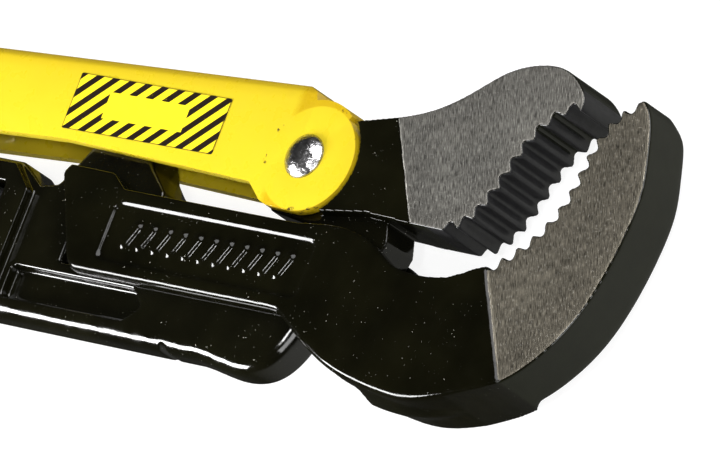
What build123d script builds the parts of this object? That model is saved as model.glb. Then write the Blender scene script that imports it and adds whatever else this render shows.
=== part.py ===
"""Swedish-pattern pipe wrench with S-shaped jaws, an adjusting nut and a squeeze lever.

The tool lies flat on the side of its body.  X runs from the handles to the jaws,
Y from the main handle to the lever, and Z through the thickness of the tool.
The origin is on the lower side face of the body, on the axis of the jaw pivot.
"""
from build123d import *
import math
import os

# ------------------------------------------------------------ driving dimensions (mm)
BODY_THICK = 18.6            # hook jaw body over both cheeks
MID = BODY_THICK / 2         # every forging is centred on this plane
CHEEK_GAP = 11.0             # space between the two cheeks
PLATE_THICK = 10.6           # main handle between the cheeks
JAW_THICK = 15.0             # ground faces of both jaws
NECK_THICK = 15.4            # painted neck of the upper jaw
EYE_THICK = 10.3             # eye of the upper jaw between the ears of the lever
TONGUE_THICK = 4.6           # tongue of the upper jaw inside the fork of the handle
FORK_GAP = 5.0
FIT = 0.05                   # radial clearance of a turning fit

RIVET_X, RIVET_Y = -19.0, 26.0       # lever rivet, seen from the jaw pivot
RIVET_R = 3.5
RIVET_HEAD_R = 5.2
PIVOT_R = 4.0
SPINDLE_Y = -1.5
SPINDLE_R = 3.5
THREAD_PITCH = 2.0
THREAD_DEPTH = 0.6

LEVER_WIDTH = 16.1           # pressed channel, outside
SHEET = 2.6
EAR_R = 12.3
LEVER_END_X = -246.0
FULCRUM_X, FULCRUM_Y = -72.0, 30.7   # top of the lug that the lever rocks on
FULCRUM_R = 6.0

HANDLE_START = (-150.0, -17.0)
HANDLE_END = (-243.0, -22.0)         # centre of the hanging hole
HANDLE_HEIGHT = 18.0
HANG_HOLE_R = 4.5
GRIP_HEIGHT = 24.0
FLANGE_ROUND = 3.6                   # rounding of the handle's lower flange and nose

TOOTH_DEPTH = 1.9
TIP_LAND = 0.08               # half the flat on a tooth tip, as a share of the pitch
UPPER_TIPS = ((50.4, 47.9), (42.6, 42.4), (38.9, 34.5), (36.4, 26.5), (32.8, 19.5), (25.6, 15.7))
UPPER_PITCHES = 10            # pitches of teeth along the S-shaped face of each jaw
HOOK_TIPS = ((41.1, 9.7), (47.3, 14.9), (52.6, 21.8), (55.4, 30.0), (56.5, 38.6), (58.9, 46.1),
             (64.9, 52.1))
HOOK_PITCHES = 12

NUT_X, NUT_LENGTH, NUT_R = -107.0, 15.0, 8.8
WASHER_THICK = 0.8
WINDOW_X = (-115.4, -98.6)
SLOT_X = (-77.4, -25.6)              # slot in the handle for the guide block
SLOT_HEIGHT = 11.4
GUIDE_X = (-71.5, -51.5)
GUIDE_HEIGHT = 11.2

SPRING_X = -124.0
SPRING_R, SPRING_WIRE_R, SPRING_TURNS = 3.9, 0.6, 6

os.makedirs("parts", exist_ok=True)


def save(part, label):
    """Label a finished piece and write it as a STEP file of the same name."""
    part.label = label
    export_step(part, f"parts/{label}.step")


def tooth_corners(curve, pitches, depth):
    """Corners of a row of teeth whose flat tips lie on a curve.

    The valleys lie to the right of the curve.
    """
    def corner(at, level):
        along = curve % at
        place = curve @ at + Vector(along.Y, -along.X, 0) * level
        return (place.X, place.Y)

    corners = [corner(0, 0)]
    for i in range(pitches):
        for share, level in ((TIP_LAND, 0), (0.5 - TIP_LAND, depth),
                             (0.5 + TIP_LAND, depth), (1 - TIP_LAND, 0)):
            corners.append(corner((i + share) / pitches, level))
    return corners + [corner(1, 0)]


def cap_arc(place, radius, height):
    """Arc of a shallow dome on the Z axis, from its rim to its crown (height may be negative)."""
    ball = (radius ** 2 + height ** 2) / (2 * abs(height))
    half = math.asin(radius / ball) / 2
    crown = place + height
    sag = math.copysign(ball * (1 - math.cos(half)), height)
    return ThreePointArc((radius, place), (ball * math.sin(half), crown - sag), (0, crown))


def on_a_side(edge):
    """True for an edge that lies in one of the two side faces of the body."""
    low, high = edge.bounding_box().min.Z, edge.bounding_box().max.Z
    return high - low < 0.01 and min(abs(low), abs(low - BODY_THICK)) < 0.01


def is_back(edge, level):
    """True for a long edge of a jaw that lies in a ground face at this height."""
    low, high = edge.bounding_box().min.Z, edge.bounding_box().max.Z
    return high - low < 0.01 and abs(low - level) < 0.01 and edge.length > 40


def centred(thickness):
    """Plane on which a sketch is extruded upwards to a slab centred on the mid-plane."""
    return Plane.XY.offset(MID - thickness / 2)


# ------------------------------------------------------------ main handle
handle_run = Vector(*HANDLE_END) - Vector(*HANDLE_START)
handle_angle = math.degrees(math.atan2(-handle_run.Y, -handle_run.X))
HEAD_R = 9.5

with BuildPart() as main_handle:
    with BuildSketch(centred(PLATE_THICK)):
        with BuildLine():
            nose = Spline((-34, -22), (-23, -23.3), (-16.3, -23.4), (-11.3, -21.6), (-7.6, -17.8),
                          (-5.2, -13), (-3.4, -8))
            Polyline(nose @ 1, (-1, 7.8), (-56, 7.8), (-56, 12.7), (-61.6, 17.5), (-66, 24.7))
            tip = CenterArc((FULCRUM_X, FULCRUM_Y - FULCRUM_R), FULCRUM_R, 0, 180)
            Polyline(tip @ 1, (-82, 17), (-86, 10), (-91, 9), (-98, 13.5), (-129, 13.5),
                     (-142, 5), (-147, -7.9), (-152, -8.2), (-152, -25.9), (-134, -23.5),
                     (-120, -21.5), nose @ 0)
        make_face()
        Circle(HEAD_R)
        with Locations(HANDLE_END):
            Circle(HANDLE_HEIGHT / 2)
        middle = (Vector(*HANDLE_START) + Vector(*HANDLE_END)) / 2
        with Locations(Location((middle.X, middle.Y, 0), (0, 0, handle_angle))):
            Rectangle(handle_run.length, HANDLE_HEIGHT)
    extrude(amount=PLATE_THICK)
    fillet(main_handle.edges().filter_by(Axis.Z, reverse=True).filter_by(
        lambda e: e.center().Y < -12 and e.center().X > -100), FLANGE_ROUND)
    # thick boss around the nut window and the spindle bore
    with BuildSketch(centred(15.6)):
        with BuildLine():
            Polyline((-92, 7), (-98, 12.3), (-129, 12.3), (-140.5, 4), (-144.5, -8), (-144.5, -18),
                     (-133, -19.5), (-92, -19.5), (-92, 7))
        make_face()
    extrude(amount=15.6)
    # I-section recess on both sides, above the lower flange
    for level in (MID - PLATE_THICK / 2, MID + PLATE_THICK / 2 - 2.6):
        with BuildSketch(Plane.XY.offset(level)):
            with BuildLine():
                Polyline((-90, -17.3), (-54, -17.3), (-50, -13.5), (-54, -9.9), (-90, -9.9), (-90, -17.3))
            make_face()
        extrude(amount=2.6, mode=Mode.SUBTRACT)
    # fork for the tongue of the upper jaw
    with BuildSketch(centred(FORK_GAP)):
        Circle(11.2)
        with Locations((0, 12)):
            Rectangle(22.4, 24)
    extrude(amount=FORK_GAP, mode=Mode.SUBTRACT)
    # slot for the guide block and window for the nut, both right through
    with BuildSketch():
        with Locations((sum(SLOT_X) / 2, SPINDLE_Y)):
            Rectangle(SLOT_X[1] - SLOT_X[0], SLOT_HEIGHT)
        with Locations((sum(WINDOW_X) / 2, SPINDLE_Y)):
            Rectangle(WINDOW_X[1] - WINDOW_X[0], 2 * NUT_R + 1.0)
        with Locations((-41, -21.6)):
            Rectangle(1.6, 2.2)
        Circle(PIVOT_R)
        with Locations(HANDLE_END):
            Circle(HANG_HOLE_R)
    extrude(amount=BODY_THICK, mode=Mode.SUBTRACT)
    with BuildSketch(Plane.YZ.offset(-150)):
        with Locations((SPINDLE_Y, MID)):
            Circle(SPINDLE_R + 0.2)
    extrude(amount=100, mode=Mode.SUBTRACT)
    # blind hole for the spring post
    with BuildSketch(Plane.XZ.offset(-13.5)):
        with Locations((SPRING_X, MID)):
            Circle(2.0)
    extrude(amount=6, mode=Mode.SUBTRACT)
save(main_handle.part, "main_handle")

grip_plane = Plane(origin=(HANDLE_START[0], HANDLE_START[1], MID),
                   x_dir=(0, 0, 1), z_dir=(handle_run.X, handle_run.Y, 0))
with BuildPart() as main_grip:
    with BuildSketch(grip_plane.offset(4)):
        RectangleRounded(BODY_THICK, GRIP_HEIGHT, 6)
    extrude(amount=78)
    with BuildSketch(grip_plane.offset(3)):
        RectangleRounded(BODY_THICK, GRIP_HEIGHT + 4, 6)
    extrude(amount=5)
    with BuildSketch(grip_plane):
        Rectangle(PLATE_THICK, HANDLE_HEIGHT)
    extrude(amount=90, mode=Mode.SUBTRACT)
save(main_grip.part, "main_grip")

with BuildPart() as jaw_pivot_pin:
    with BuildSketch(centred(PLATE_THICK)):
        Circle(PIVOT_R)
    extrude(amount=PLATE_THICK)
    chamfer(jaw_pivot_pin.edges(), 0.3)
save(jaw_pivot_pin.part, "jaw_pivot_pin")

# ------------------------------------------------------------ hook jaw with its sliding body
BLEND_START, BLEND_SPAN = (38.5, -8.0), 12.0     # slope from the body down to the ground hook
BLEND_ANGLE = math.radians(-58.0)
STEP = 0.5                                       # small step where the ground face starts
HOOK_CORNER = (44.6, -20.8)                      # corner between the belly and the hook's back
CAVITY_END = 18.0
PANEL_X, PANEL_Y = (-64.4, -5.2), (-6.1, 7.7)
PANEL_DEPTH = 0.8
BAR_COUNT, BAR_PITCH, BAR_LENGTH = 11, 4.5, 6.4
RIDGE = ((-7, -11.2), (2, -16.9), (11.2, -21.4), (21.2, -23.9), (32.5, -24.1), HOOK_CORNER)
BACK_ROUND = 3.5                                 # rounding of the hook's back, lower side
SWELL = 1.7                                      # the belly stands out this far at mid-thickness
SCREW_X = (-62.5, -54.5)

with BuildPart() as hook_jaw:
    with BuildSketch():
        with BuildLine():
            tips = Spline(*HOOK_TIPS, mode=Mode.PRIVATE)
            teeth = Polyline(*tooth_corners(tips, HOOK_PITCHES, TOOTH_DEPTH))
            land = Line(teeth @ 1, (66.1, 52.9))
            back = Spline(land @ 1, (68.6, 50.7), (72.6, 42.2), (75.2, 33), (75.4, 24), (73.8, 12),
                          (70.3, 0.8), (64.5, -8.2), (57.4, -14.8), (50.9, -18.2), HOOK_CORNER)
            belly = Spline(back @ 1, (33, -23.2), (21, -22.2), (10.9, -19.9), (1.5, -15.8),
                           (-8, -10.4), (-16, -9.3), tangents=[(-1, -0.3), (-1, 0)])
            Polyline(belly @ 1, (-70.2, -9.3), (-71.6, -8.4), (-82.4, 11.8), (-81.0, 14),
                     (-68.2, 13.8), (-63.8, 10.7), (-13, 10.8))
            Spline((-13, 10.8), (-4.4, 11.7), (10.2, 9.2), (16.4, 5.9), (23.3, 4.6), (32.3, 5.2),
                   teeth @ 0, tangents=[(1, 0.1), (1, 0.5)])
        make_face()
    extrude(amount=BODY_THICK)
    fillet(hook_jaw.edges().filter_by(lambda e: on_a_side(e) and e.center().Y < -8), 1.6)
    # the belly swells towards the parting line of the forging
    for level in (1.6, BODY_THICK - 1.6):
        for height, lift in ((MID, 0), (level, SWELL)):
            with BuildSketch(Plane.XY.offset(height)):
                with BuildLine():
                    ridge = Spline(*[(x, y + lift) for x, y in RIDGE])
                    Polyline(ridge @ 1, (38, -12), (14, -8), (2, -8), ridge @ 0)
                make_face()
        loft(ruled=True)
    # slope and ground faces of the hook, on both sides
    blend_plane = Plane(origin=(*BLEND_START, 0),
                        x_dir=(-math.sin(BLEND_ANGLE), math.cos(BLEND_ANGLE), 0),
                        z_dir=(math.cos(BLEND_ANGLE), math.sin(BLEND_ANGLE), 0))
    drop = (BODY_THICK - JAW_THICK) / 2
    with BuildSketch(blend_plane):
        for surface in (1, -1):
            level = MID + surface * MID
            with BuildLine():
                Polyline((0, level), (BLEND_SPAN - STEP, level - surface * (drop - STEP)),
                         (BLEND_SPAN, level - surface * drop), (90, level - surface * drop),
                         (90, level + surface * 2), (0, level + surface * 2), (0, level))
            make_face()
    extrude(amount=120, both=True, mode=Mode.SUBTRACT)
    fillet(hook_jaw.edges().filter_by(
        lambda e: is_back(e, MID - JAW_THICK / 2) and e.center().X > 55), BACK_ROUND)
    # bevel on the far side of the tip
    with BuildSketch(Plane.YZ.offset(54)):
        with BuildLine():
            Polyline((44.3, 0), (56.5, 10.1), (56.5, 0), close=True)
        make_face()
    extrude(amount=30, mode=Mode.SUBTRACT)
    # space for the main handle between the cheeks
    with BuildSketch(centred(CHEEK_GAP)):
        with Locations((CAVITY_END - 60, 0)):
            Rectangle(120, 60)
    extrude(amount=CHEEK_GAP, mode=Mode.SUBTRACT)
    # recessed panel on both cheeks, with a row of raised slanted bars
    panel_middle = (sum(PANEL_X) / 2, sum(PANEL_Y) / 2)
    for level in (0, BODY_THICK - PANEL_DEPTH):
        with BuildSketch(Plane.XY.offset(level)):
            with Locations(panel_middle):
                RectangleRounded(PANEL_X[1] - PANEL_X[0], PANEL_Y[1] - PANEL_Y[0], 2.0)
                with GridLocations(BAR_PITCH, 0, BAR_COUNT, 1):
                    SlotOverall(BAR_LENGTH, 1.9, rotation=65, mode=Mode.SUBTRACT)
        extrude(amount=PANEL_DEPTH, mode=Mode.SUBTRACT)
    # countersunk holes for the guide screws, from the lower side
    with BuildSketch():
        with Locations(*[(x, SPINDLE_Y) for x in SCREW_X]):
            Circle(2.1)
    extrude(amount=5, mode=Mode.SUBTRACT)
    for x in SCREW_X:
        with Locations(Location((x, SPINDLE_Y, PANEL_DEPTH + 1.0))):
            Cone(3.7, 2.1, 2.0, mode=Mode.SUBTRACT)
save(hook_jaw.part, "hook_jaw")

with BuildPart() as guide_block:
    with BuildSketch(centred(CHEEK_GAP)):
        with Locations((sum(GUIDE_X) / 2, SPINDLE_Y)):
            Rectangle(GUIDE_X[1] - GUIDE_X[0], GUIDE_HEIGHT)
        with Locations(*[(x, SPINDLE_Y) for x in SCREW_X]):
            Circle(2.0, mode=Mode.SUBTRACT)
        with Locations((-68.6, SPINDLE_Y)):
            Circle(1.25, mode=Mode.SUBTRACT)
    extrude(amount=CHEEK_GAP)
    with BuildSketch(Plane.YZ.offset(GUIDE_X[0])):
        with Locations((SPINDLE_Y, MID)):
            Circle(SPINDLE_R)
    extrude(amount=5.8, mode=Mode.SUBTRACT)
save(guide_block.part, "guide_block")

with BuildPart() as guide_screws:
    for x in SCREW_X:
        with BuildSketch(Plane(origin=(x, SPINDLE_Y, 0), x_dir=(1, 0, 0), z_dir=(0, -1, 0))):
            with BuildLine():
                Polyline((0, PANEL_DEPTH + 0.9), (1.0, PANEL_DEPTH + 0.9), (1.0, PANEL_DEPTH),
                         (3.7, PANEL_DEPTH), (2.0, PANEL_DEPTH + 2.0), (2.0, 13.0), (0, 13.0),
                         (0, PANEL_DEPTH + 0.9))
            make_face()
        revolve(axis=Axis((x, SPINDLE_Y, 0), (0, 0, 1)))
save(guide_screws.part, "guide_screws")

SPINDLE_X = (-137.0, GUIDE_X[0] + 5.8)
with BuildPart() as spindle:
    with BuildSketch():
        with BuildLine():
            turns = int((GUIDE_X[0] - SPINDLE_X[0] - 2) / THREAD_PITCH)
            thread = [(SPINDLE_X[0], 0), (SPINDLE_X[0], SPINDLE_R - 1)]
            for i in range(turns):
                x = SPINDLE_X[0] + 0.8 + i * THREAD_PITCH
                thread += [(x, SPINDLE_R), (x + 0.4, SPINDLE_R),
                           (x + 1.1, SPINDLE_R - THREAD_DEPTH), (x + 1.3, SPINDLE_R - THREAD_DEPTH)]
            thread += [(thread[-1][0] + 0.7, SPINDLE_R), (SPINDLE_X[1], SPINDLE_R), (SPINDLE_X[1], 0)]
            Polyline(*thread, close=True)
        make_face()
    revolve(axis=Axis.X)
    with BuildSketch(Plane.XY.offset(-MID)):
        with Locations((-68.6, 0)):
            Circle(1.25)
    extrude(amount=BODY_THICK, mode=Mode.SUBTRACT)
save(spindle.part.moved(Location((0, SPINDLE_Y, MID))), "spindle")

with BuildPart() as spindle_pin:
    with BuildSketch(centred(CHEEK_GAP - 0.4)):
        with Locations((-68.6, SPINDLE_Y)):
            Circle(1.25)
    extrude(amount=CHEEK_GAP - 0.4)
save(spindle_pin.part, "spindle_pin")

# ------------------------------------------------------------ adjusting nut and its washers
with BuildPart() as adjusting_nut:
    with BuildSketch(Plane.YZ.offset(NUT_X - NUT_LENGTH / 2)):
        with Locations((SPINDLE_Y, MID)):
            Circle(NUT_R)
            with PolarLocations(NUT_R + 0.3, 28):
                Circle(0.75, mode=Mode.SUBTRACT)
            Circle(SPINDLE_R + FIT, mode=Mode.SUBTRACT)
    extrude(amount=NUT_LENGTH)
save(adjusting_nut.part, "adjusting_nut")

with BuildPart() as nut_washers:
    for x in (WINDOW_X[0], WINDOW_X[1] - WASHER_THICK):
        with BuildSketch(Plane.YZ.offset(x)):
            with Locations((SPINDLE_Y, MID)):
                Circle(7.2)
                Circle(SPINDLE_R + 0.3, mode=Mode.SUBTRACT)
        extrude(amount=WASHER_THICK)
save(nut_washers.part, "nut_washers")

# ------------------------------------------------------------ upper jaw
SHOULDER_R = 14.4
EYE_R = 10.6
GROUND_LINE = ((2.3, 38.9), (16.8, 15.8))        # edge of the ground face towards the neck

with BuildPart() as upper_jaw:
    with BuildSketch(centred(JAW_THICK)):
        with BuildLine():
            shoulder = CenterArc((RIVET_X, RIVET_Y), SHOULDER_R, 45, -97)
            tips = Spline(*UPPER_TIPS, mode=Mode.PRIVATE)
            rack = Polyline(*reversed(tooth_corners(tips, UPPER_PITCHES, TOOTH_DEPTH)))
            Polyline(shoulder @ 1, (3, 16.4), (16.8, 15.8), rack @ 0)
            Spline(rack @ 1, (50.2, 50.6), (48.0, 53.2), (44.6, 55.4), (40, 56.6), (35.2, 56.3),
                   (27.6, 53.7), (19.1, 47.2), (11, 42), GROUND_LINE[0], shoulder @ 0)
        make_face()
    extrude(amount=JAW_THICK)
    # painted neck, slightly proud of the ground faces
    with BuildSketch(centred(NECK_THICK)):
        with BuildLine():
            neck = CenterArc((RIVET_X, RIVET_Y), SHOULDER_R, 45, -97)
            Polyline(neck @ 1, (3, 16.4), (16.2, 15.8), (1.7, 38.6), neck @ 0)
        make_face()
    extrude(amount=NECK_THICK)
    # eye between the ears and the root of the tongue
    with BuildSketch(centred(EYE_THICK)):
        with Locations((RIVET_X, RIVET_Y)):
            Circle(EYE_R)
        with BuildLine():
            Polyline((-17, 34.5), (-12.5, 34), (-8.3, 34.2), (8, 17), (10, 11.5), (8.8, 5.4),
                     (3, 9.9), (-7, 9.9), (-11.5, 11.8), (-25, 13.4), (-28, 18), (-26, 26),
                     close=True)
        make_face()
        Circle(10.2, mode=Mode.SUBTRACT)
    extrude(amount=EYE_THICK)
    with BuildSketch(centred(TONGUE_THICK)):
        Circle(9.3)
        with BuildLine():
            Polyline((-7.4, 5.6), (-7, 12), (9.6, 12), (9.2, 1.4), (0, 0), (-7.4, 5.6))
        make_face()
        Circle(PIVOT_R + FIT, mode=Mode.SUBTRACT)
    extrude(amount=TONGUE_THICK)
    with BuildSketch():
        with Locations((RIVET_X, RIVET_Y)):
            Circle(5.2)
    extrude(amount=BODY_THICK, mode=Mode.SUBTRACT)
save(upper_jaw.part, "upper_jaw")

with BuildPart() as eye_bush:
    with BuildSketch(centred(EYE_THICK)):
        with Locations((RIVET_X, RIVET_Y)):
            Circle(5.2)
            Circle(RIVET_R + FIT, mode=Mode.SUBTRACT)
    extrude(amount=EYE_THICK)
save(eye_bush.part, "eye_bush")

# ------------------------------------------------------------ lever
WEB_END_X = -22.6
COLLAR = (-18.0, 26.0)                # centre of the bent rim over the eye
COLLAR_R, COLLAR_ARC = 13.4, (54, 106)
TOP_SLOPE = (42.2 - 38.7) / (97.0 - 28.5)
LOW_SLOPE = (18.1 - 19.6) / (87.0 - 31.4)
lever_low = MID - LEVER_WIDTH / 2


def lever_top(x):
    """Height of the lever's back at a place along the tool."""
    return 42.2 + TOP_SLOPE * (x + 28.5)


def lever_bottom(x):
    """Height of the free edges of the channel, which turn parallel to the back past x = -87."""
    return 18.1 + LOW_SLOPE * (max(x, -87.0) + 31.4) + TOP_SLOPE * (min(x, -87.0) + 87.0)


with BuildPart() as lever:
    with BuildSketch(Plane.XY.offset(lever_low)):
        with BuildLine():
            Polyline((-21.2, 38.6), (-22.4, 40.9), (-26.0, lever_top(-26.0)),
                     (LEVER_END_X, lever_top(LEVER_END_X)),
                     (LEVER_END_X, lever_bottom(LEVER_END_X)), (-87, lever_bottom(-87)),
                     (-31.4, lever_bottom(-31.4)), (-26.7, 14.4), (-24.4, 13.6), (-17.5, 13.4),
                     (-18, 25), (-21.2, 38.6))
        make_face()
        with Locations((RIVET_X + 1.5, RIVET_Y - 0.3)):
            Circle(EAR_R)
        with BuildLine():
            rim = CenterArc(COLLAR, COLLAR_R, COLLAR_ARC[0], COLLAR_ARC[1] - COLLAR_ARC[0])
            Polyline(rim @ 1, COLLAR, rim @ 0)
        make_face()
    extrude(amount=LEVER_WIDTH)
    fillet(lever.edges().filter_by(lambda e: abs(e.center().Y - lever_top(e.center().X)) < 0.05
                                   and e.length > 100), 2.4)
    # hollow between the plates, open below and at the head
    with BuildSketch(centred(LEVER_WIDTH - 2 * SHEET)):
        with BuildLine():
            under = CenterArc(COLLAR, COLLAR_R - 2.2, COLLAR_ARC[1], COLLAR_ARC[0] - COLLAR_ARC[1])
            Polyline(under @ 1, (-5, 60), (20, 60), (20, 0), (LEVER_END_X - 1, 0),
                     (LEVER_END_X - 1, lever_top(LEVER_END_X - 1) - SHEET),
                     (WEB_END_X, lever_top(WEB_END_X) - SHEET), under @ 0)
        make_face()
    extrude(amount=LEVER_WIDTH - 2 * SHEET, mode=Mode.SUBTRACT)
    with BuildSketch():
        with Locations((RIVET_X, RIVET_Y)):
            Circle(RIVET_R)
    extrude(amount=BODY_THICK, mode=Mode.SUBTRACT)
    # hole in the web for the saddle rivet
    with BuildSketch(Plane.XZ.offset(-45)):
        with Locations((FULCRUM_X, MID)):
            Circle(2.0)
    extrude(amount=12, mode=Mode.SUBTRACT)
save(lever.part, "lever")

with BuildPart() as lever_rivet:
    with BuildSketch(Plane(origin=(RIVET_X, RIVET_Y, 0), x_dir=(1, 0, 0), z_dir=(0, -1, 0))):
        near, far = MID + LEVER_WIDTH / 2, MID - LEVER_WIDTH / 2
        with BuildLine():
            upper = cap_arc(near, RIVET_HEAD_R, 2.2)
            lower = cap_arc(far, RIVET_HEAD_R, -1.2)
            Line(upper @ 1, lower @ 1)
            Polyline(lower @ 0, (RIVET_R, far), (RIVET_R, near), upper @ 0)
        make_face()
    revolve(axis=Axis((RIVET_X, RIVET_Y, 0), (0, 0, 1)))
save(lever_rivet.part, "lever_rivet")

lever_dir = Vector(-1, -TOP_SLOPE, 0).normalized()
lever_mid = (lever_top(-136) + lever_bottom(-136)) / 2
lever_plane = Plane(origin=(-136, lever_mid, MID), x_dir=(0, 0, 1), z_dir=lever_dir)
GRIP_LENGTH, LEVER_GRIP_HEIGHT = 111.5, 22.8
with BuildPart() as lever_grip:
    with BuildSketch(lever_plane):
        RectangleRounded(BODY_THICK, LEVER_GRIP_HEIGHT, 3.2)
    extrude(amount=GRIP_LENGTH)
    with BuildSketch(Plane.XY.offset(lever_low)):
        with BuildLine():
            Polyline((-100, lever_top(-100)), (LEVER_END_X, lever_top(LEVER_END_X)),
                     (LEVER_END_X, lever_bottom(LEVER_END_X)), (-100, lever_bottom(-100)), close=True)
        make_face()
    extrude(amount=LEVER_WIDTH, mode=Mode.SUBTRACT)
save(lever_grip.part, "lever_grip")

SADDLE_LOW = 31.05
with BuildPart() as fulcrum_saddle:
    with BuildSketch(centred(LEVER_WIDTH - 2 * SHEET - 0.4)):
        with BuildLine():
            Polyline((-80, SADDLE_LOW), (-64, SADDLE_LOW), (-64, lever_top(-64) - SHEET),
                     (-80, lever_top(-80) - SHEET), close=True)
        make_face()
    extrude(amount=LEVER_WIDTH - 2 * SHEET - 0.4)
    with BuildSketch(Plane.XZ.offset(-45)):
        with Locations((FULCRUM_X, MID)):
            Circle(2.0)
    extrude(amount=11, mode=Mode.SUBTRACT)
save(fulcrum_saddle.part, "fulcrum_saddle")

with BuildPart() as saddle_rivet:
    with BuildSketch():
        with BuildLine():
            web_top = lever_top(FULCRUM_X) + 0.2
            head = cap_arc(web_top, 3.4, 1.1)
            Polyline(head @ 1, (0, web_top - 4.9), (2.0, web_top - 4.9), (2.0, web_top), head @ 0)
        make_face()
    revolve(axis=Axis.Y)
save(saddle_rivet.part.moved(Location((FULCRUM_X, 0, MID))), "saddle_rivet")

# hazard stickers, one on each plate of the channel
STICKER = (44.4, 13.2, 0.15)
for name, level in (("sticker_near", MID + LEVER_WIDTH / 2), ("sticker_far", lever_low - STICKER[2])):
    with BuildPart() as sticker:
        with BuildSketch(Plane.XY.offset(level)):
            with Locations(Location((-66.7, 28.7, 0), (0, 0, 0.6))):
                RectangleRounded(STICKER[0], STICKER[1], 0.4)
        extrude(amount=STICKER[2])
    save(sticker.part, name)

# ------------------------------------------------------------ return spring and its post
SPRING_LOW, SPRING_HIGH = 13.5, lever_top(SPRING_X) - SHEET - 0.1
with BuildPart() as spring_post:
    with BuildSketch(Plane.XZ.offset(-SPRING_LOW + 6)):
        with Locations((SPRING_X, MID)):
            Circle(2.0)
    extrude(amount=-14)
save(spring_post.part, "spring_post")

rise = SPRING_HIGH - SPRING_LOW - 2 * SPRING_WIRE_R - 0.2
with BuildPart() as return_spring:
    with BuildLine(Plane.XY):
        coil = Helix(pitch=rise / SPRING_TURNS, height=rise, radius=SPRING_R)
    with BuildSketch(Plane(origin=coil @ 0, z_dir=coil % 0)):
        Circle(SPRING_WIRE_R)
    sweep(is_frenet=True)
spring_place = Plane(origin=(SPRING_X, SPRING_LOW + SPRING_WIRE_R + 0.1, MID),
                     x_dir=(1, 0, 0), z_dir=(0, 1, 0)).location
save(return_spring.part.moved(spring_place), "return_spring")
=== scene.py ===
import math

import bpy
from bpy.props import FloatProperty, FloatVectorProperty, IntProperty, PointerProperty
from mathutils import Matrix, Vector


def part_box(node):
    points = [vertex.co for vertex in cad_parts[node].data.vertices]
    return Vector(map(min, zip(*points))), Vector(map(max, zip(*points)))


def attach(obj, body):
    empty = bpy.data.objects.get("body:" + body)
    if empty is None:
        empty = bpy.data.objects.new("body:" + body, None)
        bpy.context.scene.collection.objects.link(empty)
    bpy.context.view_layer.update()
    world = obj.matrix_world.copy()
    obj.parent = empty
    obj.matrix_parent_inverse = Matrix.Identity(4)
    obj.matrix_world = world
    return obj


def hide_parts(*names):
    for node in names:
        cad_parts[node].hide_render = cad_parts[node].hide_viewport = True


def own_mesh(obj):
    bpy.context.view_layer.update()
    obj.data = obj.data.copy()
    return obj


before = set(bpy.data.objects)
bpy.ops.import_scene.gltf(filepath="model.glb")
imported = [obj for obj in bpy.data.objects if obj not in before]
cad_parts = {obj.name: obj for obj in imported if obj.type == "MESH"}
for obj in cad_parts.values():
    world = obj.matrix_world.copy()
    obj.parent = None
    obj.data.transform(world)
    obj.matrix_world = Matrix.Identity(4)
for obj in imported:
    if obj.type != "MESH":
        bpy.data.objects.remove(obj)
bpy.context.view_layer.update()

bl_info = {
    "name": "Pipe wrench",
    "version": (1, 0, 0),
    "blender": (4, 5, 0),
    "location": "View3D > Sidebar > Wrench",
    "description": "Forged, pressed and ground finishes for a Swedish-pattern pipe wrench",
    "category": "Object",
}

MM = 0.001


def middle_of(node):
    """Centre of a CAD node's box."""
    low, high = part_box(node)
    return (low + high) / 2


RIVET = middle_of("lever_rivet")
EAR = Vector((RIVET.x + 1.5 * MM, RIVET.y - 0.3 * MM, 0))     # centre of the lever's round ear

# Lines on the side faces, in millimetres from the jaw pivot: where each ground face starts.
HOOK_GROUND_LINE = ((43.4, 6.8), (56.6, -14.4))
UPPER_GROUND_LINE = ((2.0, 38.9), (16.5, 15.8))
# The teeth lie to the left of the first line and to the right of the second.
HOOK_TOOTH_LINE = ((52.0, 5.0), (66.5, 53.0))
UPPER_TOOTH_LINE = ((20.0, 14.5), (48.0, 51.5))
GRAIN_ANGLE = math.radians(114)


# ------------------------------------------------------------------ settings
class WrenchFinish(bpy.types.PropertyGroup):
    """Colours and finishes of the wrench."""
    enamel: FloatVectorProperty(name="Enamel", description="Black enamel of the forgings",
                                subtype="COLOR", default=(0.0020, 0.0019, 0.0007), size=3)
    enamel_tint: FloatVectorProperty(name="Enamel tint", description="Olive cast of the thicker enamel",
                                     subtype="COLOR", default=(0.0042, 0.0040, 0.0014), size=3)
    yellow: FloatVectorProperty(name="Lever yellow", description="Paint of the lever",
                                subtype="COLOR", default=(0.60, 0.465, 0.016), size=3)
    # Deep yellow for pooled paint, and also for the painted shade along the lever's back and the painted
    # shadow at the ear's collar.
    yellow_shade_and_pool: FloatVectorProperty(name="Lever yellow, deep", description="Paint where it has pooled",
                                     subtype="COLOR", default=(0.47, 0.30, 0.004), size=3)
    steel: FloatVectorProperty(name="Ground steel", description="Ground faces of the upper jaw",
                               subtype="COLOR", default=(0.285, 0.275, 0.25), size=3)
    steel_hook: FloatVectorProperty(name="Ground steel, hook", description="Ground faces of the hook",
                                    subtype="COLOR", default=(0.215, 0.195, 0.155), size=3)
    oxide: FloatVectorProperty(name="Oxide", description="Oxide-black teeth",
                               subtype="COLOR", default=(0.010, 0.010, 0.0105), size=3)
    rim: FloatVectorProperty(name="Rim", description="Enamel along the backs of the jaws",
                             subtype="COLOR", default=(0.006, 0.0065, 0.0035), size=3)
    grain_length: FloatProperty(name="Grain length", description="Length of the grinding marks",
                                unit="LENGTH", default=2.2 * MM)
    grain_width: FloatProperty(name="Grain width", description="Width of the grinding marks",
                               unit="LENGTH", default=0.16 * MM)
    stripe_pitch: FloatProperty(name="Stripe pitch", description="Spacing of the sticker's stripes",
                                unit="LENGTH", default=4.8 * MM)


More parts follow.
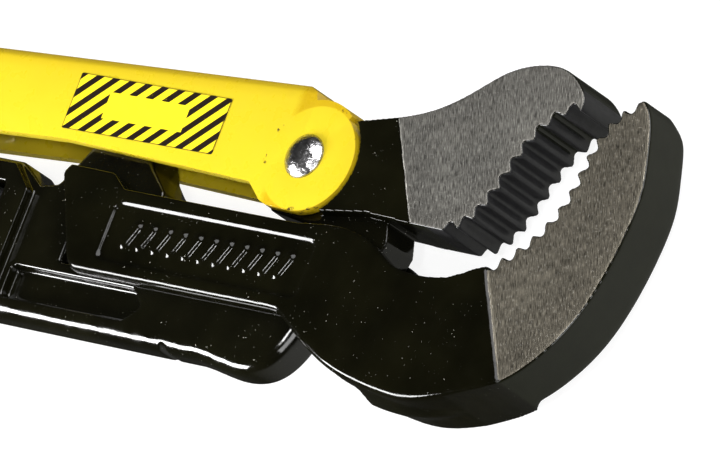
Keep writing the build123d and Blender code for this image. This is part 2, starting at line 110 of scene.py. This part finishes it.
class WrenchShape(bpy.types.PropertyGroup):
    """How finely the forgings are rounded over."""
    forging_cell: FloatProperty(name="Forging cell", description="Cell size used to round a forging",
                                unit="LENGTH", default=0.46 * MM)
    jaw_cell: FloatProperty(name="Jaw cell", description="Cell size used to round the upper jaw",
                            unit="LENGTH", default=0.34 * MM)
    forging_rounding: IntProperty(name="Forging rounding", description="Passes that soften a forging",
                                  default=4, min=0)
    sheet_bevel: FloatProperty(name="Sheet edge", description="Rounding of the pressed sheet's edges",
                               unit="LENGTH", default=0.7 * MM)


class WrenchStage(bpy.types.PropertyGroup):
    """Camera and lights."""
    azimuth: FloatProperty(name="Azimuth", description="Camera's bearing from +X",
                           unit="ROTATION", default=math.radians(-17.25))
    elevation: FloatProperty(name="Elevation", description="Camera's height above the floor",
                             unit="ROTATION", default=math.radians(46.5))
    roll: FloatProperty(name="Roll", description="Turn of the picture from the upright's projection",
                        unit="ROTATION", default=math.radians(-145.7))
    distance: FloatProperty(name="Distance", description="Camera's distance", unit="LENGTH", default=4.5)
    lens: FloatProperty(name="Lens", description="Focal length", default=1044.0)
    target: FloatVectorProperty(name="Target", description="Point at the middle of the picture",
                                subtype="TRANSLATION", default=(0.00496, 0.01045, 0.01735), size=3)


# ------------------------------------------------------------------ modelling helpers
def select_only(piece):
    """Make one object the only selected and active one."""
    bpy.ops.object.select_all(action="DESELECT")
    piece.select_set(True)
    bpy.context.view_layer.objects.active = piece


def place(piece):
    """Put a piece's place, turn and size into its mesh."""
    select_only(piece)
    bpy.ops.object.transform_apply(location=True, rotation=True, scale=True)


def modify(piece, kind, **settings):
    """Add a modifier with these settings and apply it."""
    select_only(piece)
    modifier = piece.modifiers.new(kind.title(), kind)
    for name, value in settings.items():
        setattr(modifier, name, value)
    bpy.ops.object.modifier_apply(modifier=modifier.name)


def copy_of(node, name):
    """A new piece with the shape of a CAD node, its loose triangles merged."""
    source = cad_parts[node]
    piece = bpy.data.objects.new(name, source.data.copy())
    bpy.context.scene.collection.objects.link(piece)
    piece.data.materials.clear()
    select_only(piece)
    bpy.ops.object.mode_set(mode="EDIT")
    bpy.ops.mesh.select_all(action="SELECT")
    bpy.ops.mesh.remove_doubles(threshold=0.002 * MM)
    bpy.ops.object.mode_set(mode="OBJECT")
    return piece


def soften(piece, cell, passes, keep=1.0):
    """Round every edge of a forging over by about a cell."""
    modify(piece, "REMESH", mode="VOXEL", voxel_size=cell, adaptivity=0.0)
    if passes:
        modify(piece, "SMOOTH", factor=0.5, iterations=passes)
    if keep < 1:
        modify(piece, "DECIMATE", ratio=keep)
    select_only(piece)
    bpy.ops.object.shade_smooth()


def finish_piece(piece, body, slot, material, *nodes):
    """Give a piece its material and its body, and hide the CAD nodes it stands for; the slot is not
    used.
    """
    piece.data.materials.clear()
    piece.data.materials.append(material)
    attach(piece, body)
    if nodes:
        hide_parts(*nodes)


# ------------------------------------------------------------------ material helpers
class Shader:
    """A small builder for node materials."""

    def __init__(self, name):
        self.material = bpy.data.materials.new(name)
        self.material.use_nodes = True
        self.tree = self.material.node_tree
        self.surface = self.tree.nodes["Principled BSDF"]
        self.object_coords = self.add("ShaderNodeTexCoord").outputs["Object"]

    def add(self, kind, **settings):
        """Add a node and set its properties."""
        node = self.tree.nodes.new(kind)
        for name, value in settings.items():
            setattr(node, name, value)
        return node

    def feed(self, socket, value):
        """Link a socket, or set its value."""
        if isinstance(value, bpy.types.NodeSocket):
            self.tree.links.new(value, socket)
        elif hasattr(value, "__len__") and len(value) == 3 and socket.type == "RGBA":
            socket.default_value = (*value, 1.0)
        else:
            socket.default_value = value

    def math(self, operation, a, b=0.0, c=0.0, clamp=False):
        """A Math node on up to three values."""
        node = self.add("ShaderNodeMath", operation=operation, use_clamp=clamp)
        for socket, value in zip(node.inputs, (a, b, c)):
            self.feed(socket, value)
        return node.outputs[0]

    def noise(self, scale, detail=2.0, rough=0.5, vector=None):
        """Noise value on Object coordinates; scale counts features per metre."""
        node = self.add("ShaderNodeTexNoise")
        self.feed(node.inputs["Vector"], vector or self.object_coords)
        self.feed(node.inputs["Scale"], scale)
        self.feed(node.inputs["Detail"], detail)
        self.feed(node.inputs["Roughness"], rough)
        return node.outputs["Fac"]

    def stretched(self, angle, length, width):
        """Coordinates stretched along a direction in the XY plane."""
        node = self.add("ShaderNodeMapping", vector_type="TEXTURE")
        self.feed(node.inputs["Vector"], self.object_coords)
        node.inputs["Rotation"].default_value = (0, 0, angle)
        node.inputs["Scale"].default_value = (length, width, width)
        return node.outputs["Vector"]

    def ramp(self, value, low, high, out_low=0.0, out_high=1.0):
        """Clamped linear ramp of a value."""
        node = self.add("ShaderNodeMapRange", clamp=True)
        for socket, v in zip(node.inputs, (value, low, high, out_low, out_high)):
            self.feed(socket, v)
        return node.outputs[0]

    def mix(self, share, a, b):
        """Mix two colours."""
        node = self.add("ShaderNodeMix", data_type="RGBA")
        self.feed(node.inputs["Factor"], share)
        self.feed(node.inputs["A"], a)
        self.feed(node.inputs["B"], b)
        return node.outputs["Result"]

    def bump(self, height, distance, strength=1.0, below=None):
        """Bump of a height field, in metres of depth."""
        node = self.add("ShaderNodeBump")
        self.feed(node.inputs["Height"], height)
        node.inputs["Distance"].default_value = distance
        node.inputs["Strength"].default_value = strength
        if below:
            self.feed(node.inputs["Normal"], below)
        return node.outputs["Normal"]

    def beyond(self, line, blur):
        """1 to the right of a line through two points of the XY plane (mm), 0 to its left."""
        start, end = (Vector((*p, 0)) * MM for p in line)
        along = (end - start).normalized()
        right = Vector((-along.y, along.x, 0))
        if right.x < 0:
            right = -right
        node = self.add("ShaderNodeVectorMath", operation="DOT_PRODUCT")
        self.feed(node.inputs[0], self.object_coords)
        node.inputs[1].default_value = right
        offset = self.math("SUBTRACT", node.outputs["Value"], right.dot(start))
        wobble = self.math("MULTIPLY", self.math("SUBTRACT", self.noise(500, 3), 0.5), 0.5 * MM)
        return self.ramp(self.math("ADD", offset, wobble), -blur, blur)

    def facing_side(self, low=0.90, high=0.97):
        """1 on faces that look straight up or down."""
        geometry = self.add("ShaderNodeNewGeometry")
        split = self.add("ShaderNodeSeparateXYZ")
        self.feed(split.inputs[0], geometry.outputs["Normal"])
        return self.ramp(self.math("ABSOLUTE", split.outputs["Z"]), low, high)

    def principled(self, **inputs):
        """Set or link inputs of the surface shader by name."""
        for name, value in inputs.items():
            self.feed(self.surface.inputs[name.replace("_", " ").title().replace("Ior", "IOR")], value)


def enamel_parts(shader, finish):
    """Colour, roughness and height of glossy black enamel over a forging."""
    deepened = shader.ramp(shader.noise(60, 3), 0.35, 0.7)
    colour = shader.mix(deepened, finish.enamel, finish.enamel_tint)
    dust = shader.ramp(shader.noise(1500, 2, 0.7), 0.71, 0.745)
    gate = shader.ramp(shader.noise(110, 2), 0.46, 0.58)
    dust = shader.math("MULTIPLY", dust, gate)
    colour = shader.mix(dust, colour, (0.42, 0.41, 0.36))
    rough = shader.ramp(shader.noise(240, 3), 0.3, 0.75, 0.06, 0.2)
    lumps = shader.math("ADD", shader.noise(85, 2), shader.math("MULTIPLY", shader.noise(230, 1), 0.3))
    peel = shader.math("MULTIPLY", shader.noise(900, 2), 0.05)
    pips = shader.math("MULTIPLY", dust, 0.12)
    height = shader.math("ADD", shader.math("ADD", lumps, peel), pips)
    return colour, rough, height


def enamel_material(finish, name="black_enamel"):
    """Glossy black enamel of the main handle."""
    shader = Shader(name)
    colour, rough, height = enamel_parts(shader, finish)
    shader.principled(base_color=colour, roughness=rough,
                      normal=shader.bump(height, 0.35 * MM, 0.8))
    shader.surface.inputs["Specular IOR Level"].default_value = 0.5
    return shader.material


def jaw_material(finish, name, steel, ground_line, tooth_line, teeth_right):
    """Enamelled forging whose side faces are ground past a line, with oxide-black teeth."""
    shader = Shader(name)
    colour, rough, height = enamel_parts(shader, finish)
    ground = shader.math("MULTIPLY", shader.beyond(ground_line, 0.12 * MM), shader.facing_side())
    grain_at = shader.stretched(GRAIN_ANGLE, finish.grain_length, finish.grain_width)
    fine = shader.noise(1.0, 3, 0.65, grain_at)
    broad = shader.noise(90, 2, 0.6)
    mark_at = shader.stretched(GRAIN_ANGLE + math.radians(72), 3.2 * MM, 0.10 * MM)
    marks = shader.ramp(shader.noise(1.0, 1, 0.5, mark_at), 0.74, 0.80)
    specks = shader.ramp(shader.noise(2600, 1, 0.5), 0.70, 0.78)
    dark = tuple(0.42 * v for v in steel)
    light = tuple(min(1.0, 2.1 * v) for v in steel)
    shade = shader.ramp(shader.math("ADD", fine, shader.math("MULTIPLY", broad, 0.25)), 0.42, 0.78)
    steel_colour = shader.mix(shade, dark, light)
    # Painted highlights: bright glint streaks along the grain go into the steel colour, joined with the
    # real scratch marks and specks.
    glint_at = shader.stretched(GRAIN_ANGLE, 1.1 * MM, 0.16 * MM)
    painted_glint = shader.ramp(shader.noise(1.0, 1, 0.5, glint_at), 0.66, 0.74)
    scratches_and_glints = shader.math("MAXIMUM", marks, painted_glint)
    bright = shader.math("MAXIMUM", scratches_and_glints, shader.math("MULTIPLY", specks, 0.6))
    steel_colour = shader.mix(shader.math("MULTIPLY", bright, 0.55), steel_colour, (0.75, 0.74, 0.70))
    bare = shader.math("MULTIPLY", shader.beyond(ground_line, 0.5 * MM),
                       shader.math("SUBTRACT", 1.0, shader.facing_side(0.5, 0.8)))
    teeth = shader.beyond(tooth_line, 0.3 * MM)
    if not teeth_right:
        teeth = shader.math("SUBTRACT", 1.0, teeth)
    oxide = shader.mix(shader.noise(700, 3), finish.oxide, tuple(2.4 * v for v in finish.oxide))
    skin = shader.mix(shader.noise(260, 3), finish.rim, tuple(1.5 * v for v in finish.rim))
    painted = shader.mix(bare, colour, shader.mix(teeth, skin, oxide))
    toothed = shader.math("MULTIPLY", bare, teeth)
    painted_rough = shader.math("ADD", rough, shader.math("MULTIPLY", toothed, 0.24))
    full_rough = shader.mix(ground, painted_rough, shader.ramp(fine, 0.3, 0.7, 0.34, 0.52))
    steel_height = shader.math("MULTIPLY", shader.math("SUBTRACT", fine, bright), 0.05)
    normal = shader.bump(shader.mix(ground, height, steel_height), 0.35 * MM, 0.8)
    shader.principled(base_color=shader.mix(ground, painted, steel_colour), roughness=full_rough,
                      metallic=ground, normal=normal)
    shader.surface.inputs["Specular IOR Level"].default_value = 0.28
    return shader.material


def yellow_material(finish, name="yellow_paint"):
    """Yellow paint with painted shade along the lever's back and a painted shadow over the eye, chipped
    at the ears' rim.
    """
    shader = Shader(name)
    split = shader.add("ShaderNodeSeparateXYZ")
    shader.feed(split.inputs[0], shader.object_coords)
    x, y = split.outputs["X"], split.outputs["Y"]
    back = shader.math("ADD", 43.7 * MM, shader.math("MULTIPLY", x, 0.0511))
    # Painted shade: the yellow deepens towards the lever's back, along the rounded bend.
    painted_back_shade = shader.ramp(shader.math("SUBTRACT", back, y), 0.2 * MM, 4.5 * MM, 0.75, 0.0)
    cloudy = shader.ramp(shader.noise(35, 2), 0.5, 0.9, 0, 0.25)
    # Share of the deeper yellow: the painted back shade together with random cloudy tone.
    deepened = shader.math("MAXIMUM", painted_back_shade, cloudy)
    colour = shader.mix(deepened, finish.yellow, finish.yellow_shade_and_pool)
    away = shader.add("ShaderNodeVectorMath", operation="DISTANCE")
    flat = shader.add("ShaderNodeCombineXYZ")
    shader.feed(flat.inputs[0], x)
    shader.feed(flat.inputs[1], y)
    shader.feed(away.inputs[0], flat.outputs[0])
    away.inputs[1].default_value = EAR
    rim = shader.math("MULTIPLY", shader.ramp(away.outputs["Value"], 11.2 * MM, 11.9 * MM),
                      shader.ramp(away.outputs["Value"], 12.6 * MM, 13.2 * MM, 1.0, 0.0))
    # Painted shadow: a dark ring where the collar steps behind the ear disk's edge.
    painted_collar_shade = shader.math("MULTIPLY", shader.ramp(away.outputs["Value"], 12.1 * MM, 12.35 * MM),
                         shader.ramp(x, -27.0 * MM, -25.0 * MM))
    colour = shader.mix(shader.math("MULTIPLY", painted_collar_shade, 0.85), colour, finish.yellow_shade_and_pool)
    chips = shader.math("MULTIPLY", rim, shader.ramp(shader.noise(330, 3, 0.6), 0.62, 0.66))
    colour = shader.mix(chips, colour, (0.05, 0.025, 0.008))
    dirt = shader.ramp(shader.noise(1300, 2, 0.6), 0.74, 0.78, 0, 0.35)
    colour = shader.mix(dirt, colour, (0.35, 0.22, 0.02))
    height = shader.math("ADD", shader.math("MULTIPLY", shader.noise(650, 2), 0.10),
                         shader.math("MULTIPLY", shader.noise(90, 2), 0.5))
    height = shader.math("SUBTRACT", height, shader.math("MULTIPLY", chips, 0.4))
    shader.principled(base_color=colour,
                      roughness=shader.ramp(shader.noise(300, 2), 0.3, 0.7, 0.24, 0.36),
                      normal=shader.bump(height, 0.16 * MM, 0.6))
    shader.surface.inputs["Coat Weight"].default_value = 0.5
    shader.surface.inputs["Coat Roughness"].default_value = 0.08
    return shader.material


def sticker_material(finish, name="sticker_film"):
    """Slanted black stripes around a blank window, with a thin outline."""
    shader = Shader(name)
    low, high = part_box("sticker_near")
    centre = (low + high) / 2
    half = Vector((22.15, 6.6, 0)) * MM
    local = shader.add("ShaderNodeMapping", vector_type="TEXTURE")
    shader.feed(local.inputs["Vector"], shader.object_coords)
    local.inputs["Location"].default_value = (centre.x, centre.y, 0)
    local.inputs["Rotation"].default_value = (0, 0, math.radians(0.6))
    split = shader.add("ShaderNodeSeparateXYZ")
    shader.feed(split.inputs[0], local.outputs["Vector"])
    x, y = split.outputs["X"], split.outputs["Y"]
    slant = shader.math("SUBTRACT", x, shader.math("MULTIPLY", y, 1.08))
    stripes = shader.math("DIVIDE", slant, finish.stripe_pitch)
    phase = shader.math("FRACT", shader.math("ADD", stripes, 40.2))
    edge = 0.03
    stripe = shader.math("MULTIPLY", shader.ramp(phase, 0.0, edge),
                         shader.math("SUBTRACT", 1.0, shader.ramp(phase, 0.48, 0.48 + edge)))
    blur = 0.06 * MM
    window_x = shader.ramp(shader.math("ABSOLUTE", shader.math("ADD", x, 0.35 * MM)),
                           11.75 * MM - blur, 11.75 * MM + blur)
    window_y = shader.ramp(shader.math("ABSOLUTE", shader.math("SUBTRACT", y, 0.2 * MM)),
                           3.1 * MM - blur, 3.1 * MM + blur)
    outside = shader.math("MAXIMUM", window_x, window_y)
    edges = [shader.ramp(shader.math("ABSOLUTE", across), reach - 0.25 * MM, reach - 0.15 * MM)
             for across, reach in ((x, half.x), (y, half.y))]
    outline = shader.math("MAXIMUM", *edges)
    ink = shader.math("MAXIMUM", shader.math("MULTIPLY", stripe, outside),
                      shader.math("MULTIPLY", outline, 0.8))
    worn = shader.ramp(shader.noise(900, 3, 0.7), 0.68, 0.76, 1.0, 0.7)
    ink = shader.math("MULTIPLY", ink, worn)
    colour = shader.mix(ink, (0.90, 0.69, 0.018), (0.012, 0.008, 0.006))
    shader.principled(base_color=colour,
                      roughness=shader.ramp(shader.noise(500, 2), 0.3, 0.7, 0.28, 0.4),
                      normal=shader.bump(shader.noise(400, 2), 0.02 * MM, 0.5))
    shader.surface.inputs["Specular IOR Level"].default_value = 0.3
    return shader.material


def steel_material(name, colour, rough, dents=0.03, metallic=1.0):
    """Plain steel with small dents, stains and turning marks."""
    shader = Shader(name)
    stain = shader.ramp(shader.noise(500, 3, 0.6), 0.35, 0.7)
    tone = shader.mix(stain, tuple(0.72 * v for v in colour), colour)
    dimples = shader.math("MULTIPLY", shader.noise(320, 2), 1.2)
    height = shader.math("ADD", shader.noise(1100, 2), dimples)
    roughness = shader.ramp(shader.noise(800, 2), 0.3, 0.7, rough * 0.75, rough * 1.3)
    shader.principled(base_color=tone, metallic=metallic, roughness=roughness,
                      normal=shader.bump(height, dents * MM, 0.7))
    return shader.material


def grip_material(finish, name="grip_vinyl"):
    """Dipped vinyl with a fine pebble."""
    shader = Shader(name)
    pebble = shader.add("ShaderNodeTexVoronoi")
    shader.feed(pebble.inputs["Vector"], shader.object_coords)
    shader.feed(pebble.inputs["Scale"], 1400)
    shade = shader.ramp(shader.noise(120, 3), 0.3, 0.7)
    shader.principled(base_color=shader.mix(shade, (0.012, 0.012, 0.012), (0.028, 0.027, 0.026)),
                      roughness=shader.ramp(shader.noise(300, 2), 0.3, 0.7, 0.42, 0.6),
                      normal=shader.bump(pebble.outputs["Distance"], 0.05 * MM, 0.5))
    return shader.material


# ------------------------------------------------------------------ pieces
class WRENCH_OT_forgings(bpy.types.Operator):
    """Main handle, hook jaw and upper jaw, with rounded forged edges and ground faces"""
    bl_idname = "wrench.forgings"
    bl_label = "Forgings"

    def execute(self, context):
        shape, finish = context.scene.wrench_shape, context.scene.wrench_finish
        enamel = enamel_material(finish)
        handle = copy_of("main_handle", "forged_handle")
        soften(handle, shape.forging_cell, shape.forging_rounding, 0.8)
        finish_piece(handle, "main_handle", "black_enamel", enamel, "main_handle")
        hook = copy_of("hook_jaw", "forged_hook_jaw")
        soften(hook, shape.forging_cell, shape.forging_rounding, 0.7)
        finish_piece(hook, "hook_jaw", "black_enamel",
                     jaw_material(finish, "hook_enamel_and_steel", finish.steel_hook,
                                  HOOK_GROUND_LINE, HOOK_TOOTH_LINE, False), "hook_jaw")
        upper = copy_of("upper_jaw", "forged_upper_jaw")
        soften(upper, shape.jaw_cell, 3)
        finish_piece(upper, "upper_jaw", "ground_steel",
                     jaw_material(finish, "upper_enamel_and_steel", finish.steel,
                                  UPPER_GROUND_LINE, UPPER_TOOTH_LINE, True), "upper_jaw")
        return {"FINISHED"}


class WRENCH_OT_lever(bpy.types.Operator):
    """Pressed channel lever with rounded sheet edges, its stickers and rivets"""
    bl_idname = "wrench.lever"
    bl_label = "Lever"

    def execute(self, context):
        shape, finish = context.scene.wrench_shape, context.scene.wrench_finish
        yellow = yellow_material(finish)
        lever = copy_of("lever", "pressed_lever")
        modify(lever, "BEVEL", width=shape.sheet_bevel, segments=3, limit_method="ANGLE",
               angle_limit=math.radians(40), use_clamp_overlap=True)
        select_only(lever)
        bpy.ops.object.shade_smooth_by_angle(angle=math.radians(35))
        finish_piece(lever, "lever", "yellow_paint", yellow, "lever")
        film = sticker_material(finish)
        for name in ("sticker_near", "sticker_far"):
            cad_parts[name].data.materials.clear()
            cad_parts[name].data.materials.append(film)
        rivet_steel = steel_material("polished_rivet", (0.64, 0.63, 0.64), 0.22, dents=0.22)
        rivet = copy_of("lever_rivet", "domed_rivet")
        select_only(rivet)
        bpy.ops.object.shade_smooth_by_angle(angle=math.radians(40))
        finish_piece(rivet, "lever", "polished_rivet", rivet_steel, "lever_rivet")
        saddle_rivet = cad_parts["saddle_rivet"]
        saddle_rivet.data.materials.clear()
        saddle_rivet.data.materials.append(yellow)
        return {"FINISHED"}


class WRENCH_OT_steel_parts(bpy.types.Operator):
    """Spindle, nut, washers, pins, spring and the other bright parts"""
    bl_idname = "wrench.steel_parts"
    bl_label = "Steel parts"

    def execute(self, context):
        bright = steel_material("bright_steel", (0.55, 0.55, 0.53), 0.32)
        spring = steel_material("spring_steel", (0.30, 0.30, 0.31), 0.28)
        blued = steel_material("black_oxide", (0.045, 0.045, 0.048), 0.35, metallic=0.6)
        for name in ("jaw_pivot_pin", "guide_block", "guide_screws", "spindle", "spindle_pin",
                     "nut_washers", "eye_bush", "fulcrum_saddle", "spring_post"):
            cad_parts[name].data.materials.clear()
            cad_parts[name].data.materials.append(bright)
        coil = copy_of("return_spring", "coil_spring")
        select_only(coil)
        bpy.ops.object.shade_smooth_by_angle(angle=math.radians(50))
        finish_piece(coil, "main_handle", "spring_steel", spring, "return_spring")
        foot = middle_of("return_spring")
        foot.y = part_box("return_spring")[0].y
        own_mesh(coil)
        nut = copy_of("adjusting_nut", "knurled_nut")
        modify(nut, "BEVEL", width=0.25 * MM, segments=2, limit_method="ANGLE",
               angle_limit=math.radians(40), use_clamp_overlap=True)
        select_only(nut)
        bpy.ops.object.shade_smooth_by_angle(angle=math.radians(35))
        finish_piece(nut, "adjusting_nut", "black_oxide", blued, "adjusting_nut")
        return {"FINISHED"}


def grip_sleeve(name, start, end, width, height, corner, stations):
    """A dipped sleeve along a run: a rounded rectangle extruded through stations.

    Each station is (share of the run, width factor, height factor).
    """
    run = end - start
    bpy.ops.object.select_all(action="DESELECT")
    bpy.ops.mesh.primitive_plane_add(size=1)
    sleeve = bpy.context.object
    sleeve.name = name
    first = stations[0]
    bpy.ops.object.mode_set(mode="EDIT")
    bpy.ops.transform.resize(value=(width, height, 1))
    bpy.ops.mesh.bevel(offset=corner, segments=5, affect="VERTICES")
    bpy.ops.transform.resize(value=(first[1], first[2], 1))
    for before, after in zip(stations, stations[1:]):
        bpy.ops.mesh.extrude_region_move(
            TRANSFORM_OT_translate={"value": (0, 0, (after[0] - before[0]) * run.length)})
        bpy.ops.transform.resize(value=(after[1] / before[1], after[2] / before[2], 1))
    bpy.ops.mesh.select_all(action="SELECT")
    bpy.ops.mesh.normals_make_consistent(inside=False)
    bpy.ops.object.mode_set(mode="OBJECT")
    along = run.normalized()
    upright = Vector((0, 0, 1))
    across = along.cross(upright)
    turn = Matrix((upright, across, along)).transposed()
    if turn.determinant() < 0:
        turn = Matrix((upright, -across, along)).transposed()
    sleeve.matrix_world = Matrix.Translation(start) @ turn.to_4x4()
    place(sleeve)
    modify(sleeve, "SUBSURF", levels=2, render_levels=2)
    select_only(sleeve)
    bpy.ops.object.shade_smooth()
    return sleeve


class WRENCH_OT_grips(bpy.types.Operator):
    """Dipped vinyl sleeves on both handles"""
    bl_idname = "wrench.grips"
    bl_label = "Grips"

    def execute(self, context):
        vinyl = grip_material(context.scene.wrench_finish)
        for name, node, body, slope, tall, corner, guard, ring_width, end_width in (
                ("main_sleeve", "main_grip", "main_handle", math.atan2(5, 93), 28.0 * MM, 6.0,
                 1.13, 0.93, 0.70),
                ("lever_sleeve", "lever_grip", "lever", math.atan(3.5 / 68.5), 22.8 * MM, 2.6,
                 1.0, 0.965, 0.93)):
            low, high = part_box(node)
            along = Vector((math.cos(slope), math.sin(slope), 0))
            middle = (low + high) / 2
            length = (high.x - low.x - tall * math.sin(slope)) / math.cos(slope)
            height = tall / guard
            start, end = middle + along * length / 2, middle - along * length / 2
            stations = [(0.0, 0.80, 0.90 * guard), (0.004, 0.94, 0.97 * guard), (0.012, 1.0, guard),
                        (0.05, 1.0, guard), (0.075, 0.98, 1.0)]
            for ring in range(6):
                at = 0.11 + 0.055 * ring
                stations += [(at, 0.99, 0.99), (at + 0.008, ring_width, ring_width),
                             (at + 0.018, ring_width, ring_width), (at + 0.026, 0.99, 0.99)]
            near_end = (1 + end_width) / 2
            stations += [(0.5, 0.995, 0.995), (0.7, 1.0, 1.0), (0.9, 1.0, 1.0),
                         (0.975, 0.985, 0.985), (0.995, near_end, near_end),
                         (1.0, end_width, end_width)]
            sleeve = grip_sleeve(name, start, end, high.z - low.z, height, corner * MM, stations)
            finish_piece(sleeve, body, "grip_vinyl", vinyl, node)
        return {"FINISHED"}


# ------------------------------------------------------------------ stage
def soft_light(name, direction, distance, size, power, target):
    """A rectangular soft light that looks at the target."""
    data = bpy.data.lights.new(name, "AREA")
    data.shape = "RECTANGLE"
    data.size, data.size_y = size
    data.energy = power
    light = bpy.data.objects.new(name, data)
    bpy.context.scene.collection.objects.link(light)
    away = Vector(direction).normalized()
    light.location = target + away * distance
    light.rotation_euler = away.to_track_quat("Z", "Y").to_euler()
    return light


def studio_world():
    """A dark studio whose pale floor shows in surfaces that face +X."""
    world = bpy.data.worlds.new("studio")
    world.use_nodes = True
    tree = world.node_tree
    split = tree.nodes.new("ShaderNodeSeparateXYZ")
    tree.links.new(tree.nodes.new("ShaderNodeTexCoord").outputs["Generated"], split.inputs[0])
    shares = []
    for axis, start, end in (("X", -0.4, 0.7), ("Z", 0.0, -0.3)):
        share = tree.nodes.new("ShaderNodeMapRange")
        tree.links.new(split.outputs[axis], share.inputs["Value"])
        share.inputs["From Min"].default_value = start
        share.inputs["From Max"].default_value = end
        shares.append(share.outputs[0])
    both = tree.nodes.new("ShaderNodeMath")
    both.operation = "MULTIPLY"
    for socket, share in zip(both.inputs, shares):
        tree.links.new(share, socket)
    strength = tree.nodes.new("ShaderNodeMapRange")
    tree.links.new(both.outputs[0], strength.inputs["Value"])
    strength.inputs["To Min"].default_value = 0.035
    strength.inputs["To Max"].default_value = 0.70
    background = tree.nodes["Background"]
    background.inputs["Color"].default_value = (1.0, 1.0, 0.93, 1.0)
    tree.links.new(strength.outputs[0], background.inputs["Strength"])
    return world


class WRENCH_OT_stage(bpy.types.Operator):
    """Pale floor, soft studio lights and the camera"""
    bl_idname = "wrench.stage"
    bl_label = "Stage"

    def execute(self, context):
        stage = context.scene.wrench_stage
        target = Vector(stage.target)
        bpy.ops.object.select_all(action="DESELECT")
        bpy.ops.mesh.primitive_plane_add(size=6, location=(0, 0, -0.0002))
        floor = bpy.context.object
        floor.name = "floor"
        place(floor)
        shader = Shader("pale_floor")
        tone = shader.mix(shader.noise(3, 2), (0.20, 0.20, 0.20), (0.23, 0.23, 0.23))
        shader.principled(base_color=tone, roughness=0.9, emission_color=(1.0, 1.0, 1.0),
                          emission_strength=0.88)
        floor.data.materials.append(shader.material)
        floor.visible_glossy = False

        away = Vector((math.cos(stage.elevation) * math.cos(stage.azimuth),
                       math.cos(stage.elevation) * math.sin(stage.azimuth), math.sin(stage.elevation)))
        upright = (Vector((0, 0, 1)) - away * away.z).normalized()
        level = away.cross(upright)
        right = upright * math.cos(stage.roll) + level * math.sin(stage.roll)
        up = away.cross(right)
        camera = bpy.data.objects.new("camera", bpy.data.cameras.new("camera"))
        bpy.context.scene.collection.objects.link(camera)
        camera.matrix_world = Matrix.Translation(target + away * stage.distance) @ Matrix(
            (right, up, away)).transposed().to_4x4()
        camera.data.lens = stage.lens
        camera.data.clip_start = 0.01
        context.scene.camera = camera

        context.scene.world = studio_world()
        soft_light("key", (0.45, 0.70, 0.95), 0.9, (0.8, 0.6), 9.0, target)
        soft_light("edge", (-0.64, -0.66, 0.36), 0.7, (0.50, 0.20), 11.0, target)
        soft_light("fill", (0.9, -0.55, 0.75), 0.9, (0.5, 0.4), 4.0, target)
        soft_light("top", (0.23, -0.20, 0.955), 0.9, (0.14, 0.14), 2.2, target)
        context.scene.view_settings.view_transform = "Standard"
        return {"FINISHED"}


class WRENCH_PT_panel(bpy.types.Panel):
    """Lists the steps that build the wrench"""
    bl_label = "Pipe wrench"
    bl_idname = "WRENCH_PT_panel"
    bl_space_type = "VIEW_3D"
    bl_region_type = "UI"
    bl_category = "Wrench"

    def draw(self, context):
        for operator in OPERATORS:
            self.layout.operator(operator.bl_idname)
        for group in ("wrench_finish", "wrench_shape", "wrench_stage"):
            settings = getattr(context.scene, group)
            for name in settings.bl_rna.properties.keys():
                if name not in {"rna_type", "name"}:
                    self.layout.prop(settings, name)


OPERATORS = (WRENCH_OT_forgings, WRENCH_OT_lever, WRENCH_OT_steel_parts, WRENCH_OT_grips,
             WRENCH_OT_stage)
CLASSES = (WrenchFinish, WrenchShape, WrenchStage, *OPERATORS, WRENCH_PT_panel)


def register():
    for cls in CLASSES:
        bpy.utils.register_class(cls)
    bpy.types.Scene.wrench_finish = PointerProperty(type=WrenchFinish)
    bpy.types.Scene.wrench_shape = PointerProperty(type=WrenchShape)
    bpy.types.Scene.wrench_stage = PointerProperty(type=WrenchStage)


def unregister():
    del bpy.types.Scene.wrench_finish
    del bpy.types.Scene.wrench_shape
    del bpy.types.Scene.wrench_stage
    for cls in reversed(CLASSES):
        bpy.utils.unregister_class(cls)


def main():
    register()
    bpy.ops.wrench.forgings()
    bpy.ops.wrench.lever()
    bpy.ops.wrench.steel_parts()
    bpy.ops.wrench.grips()
    bpy.ops.wrench.stage()


if __name__ == "__main__":
    main()
